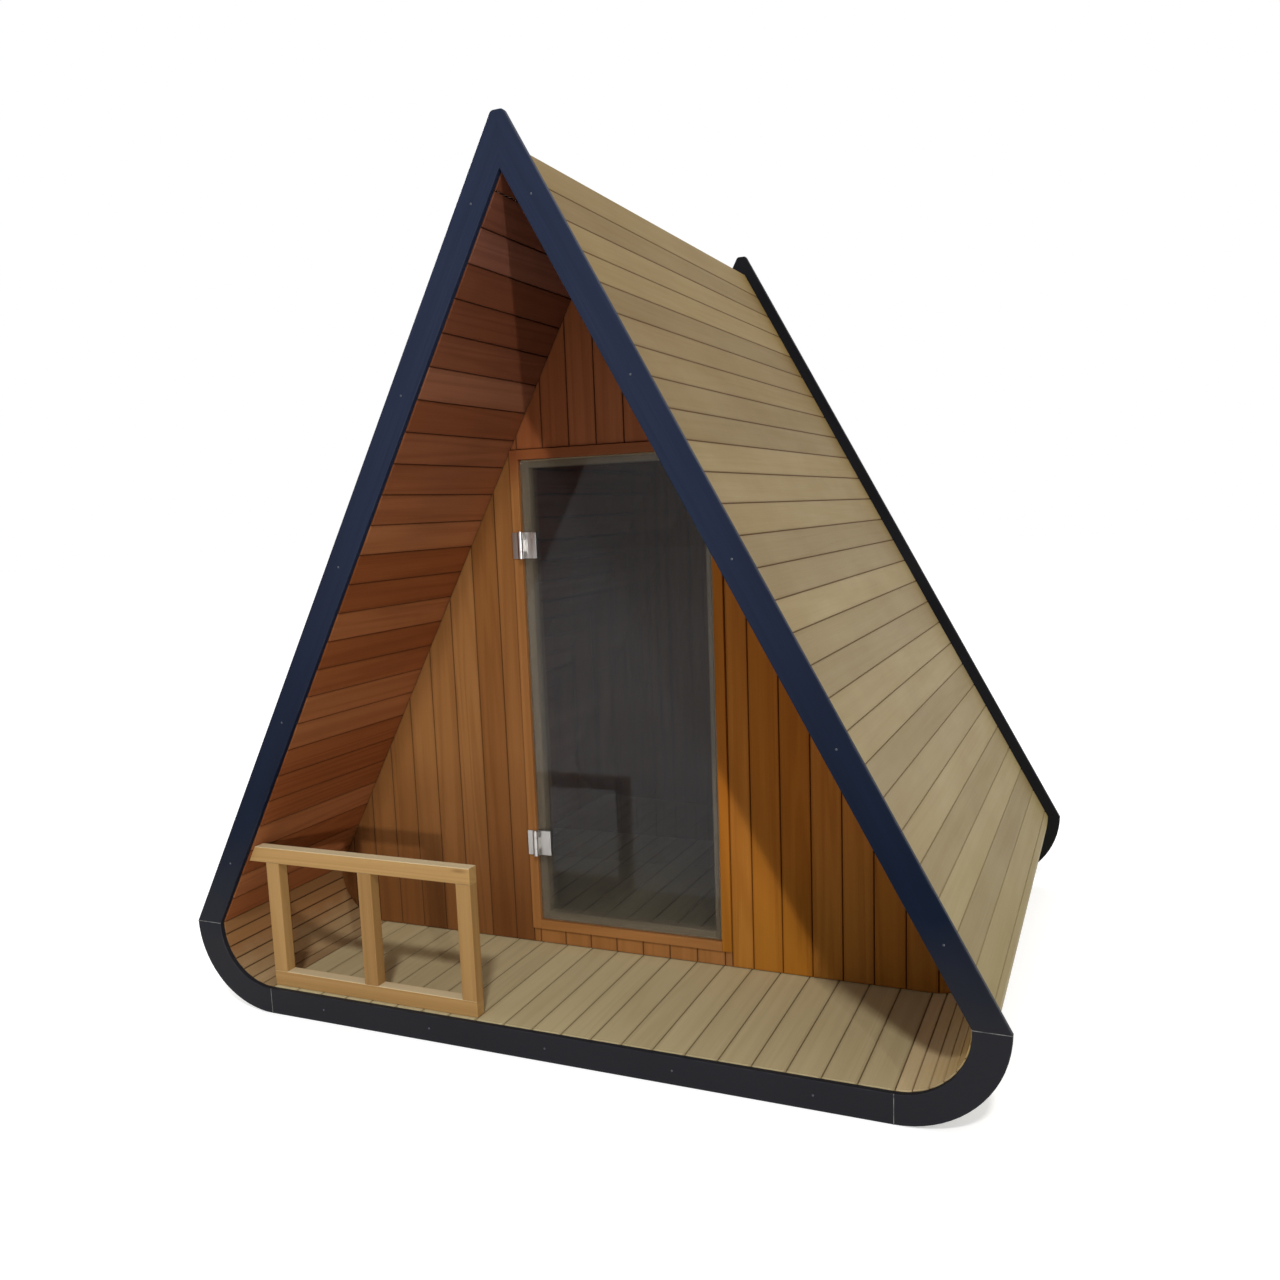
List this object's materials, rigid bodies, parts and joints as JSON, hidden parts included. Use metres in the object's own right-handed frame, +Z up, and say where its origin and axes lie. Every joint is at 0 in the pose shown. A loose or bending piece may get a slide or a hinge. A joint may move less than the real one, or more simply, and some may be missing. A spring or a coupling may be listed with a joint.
{
  "type": "a-frame sauna cabin",
  "caption": "Steep A-frame timber sauna cabin with rounded lower corners, dark end rims, an open porch with a low railing and a hinged glass door.",
  "frame": {"origin": "on the ground below the middle of the cabin", "axes": "+X to the right seen from the front, -Y out of the front, +Z up"},
  "size_m": [2.436, 1.97, 2.47],
  "materials": {
    "rim_paint": "satin navy paint",
    "shell_wood": "oiled pale softwood",
    "wall_wood": "oiled red cedar",
    "frame_wood": "oiled cedar",
    "door_glass": "tinted polished glass",
    "hinge_metal": "satin steel",
    "railing_wood": "planed pine"
  },
  "bodies": {
    "cabin": {"front_rim_left": "rim_paint", "front_rim_right": "rim_paint", "front_rim_left_corner": "rim_paint", "front_rim_right_corner": "rim_paint", "front_rim_bottom": "rim_paint", "back_rim_left": "rim_paint", "back_rim_right": "rim_paint", "back_rim_left_corner": "rim_paint", "back_rim_right_corner": "rim_paint", "back_rim_bottom": "rim_paint", "left_slope": "shell_wood", "right_slope": "shell_wood", "left_corner": "shell_wood", "right_corner": "shell_wood", "floor_deck": "shell_wood", "front_wall_left": "wall_wood", "front_wall_right": "wall_wood", "front_wall_gable": "wall_wood", "front_wall_sill": "wall_wood", "back_wall": "wall_wood", "door_jamb_left": "frame_wood", "door_jamb_right": "frame_wood", "door_head": "frame_wood", "door_threshold": "frame_wood", "hinge_upper_leaf": "hinge_metal", "hinge_upper_pin": "hinge_metal", "hinge_lower_leaf": "hinge_metal", "hinge_lower_pin": "hinge_metal", "railing_top_rail": "railing_wood", "railing_bottom_rail": "railing_wood", "railing_post_left": "railing_wood", "railing_post_middle": "railing_wood", "railing_post_right": "railing_wood"},
    "door": {"door_glass": "door_glass", "hinge_upper_clamp": "hinge_metal", "hinge_lower_clamp": "hinge_metal"}
  },
  "joints": [
    {"name": "door_swing", "type": "hinge", "parent": "cabin", "child": "door", "pos_m": [-0.3125, -0.4005, 0.913], "axis": [0, 0, -1], "range_deg": [0, 80]}
  ]
}
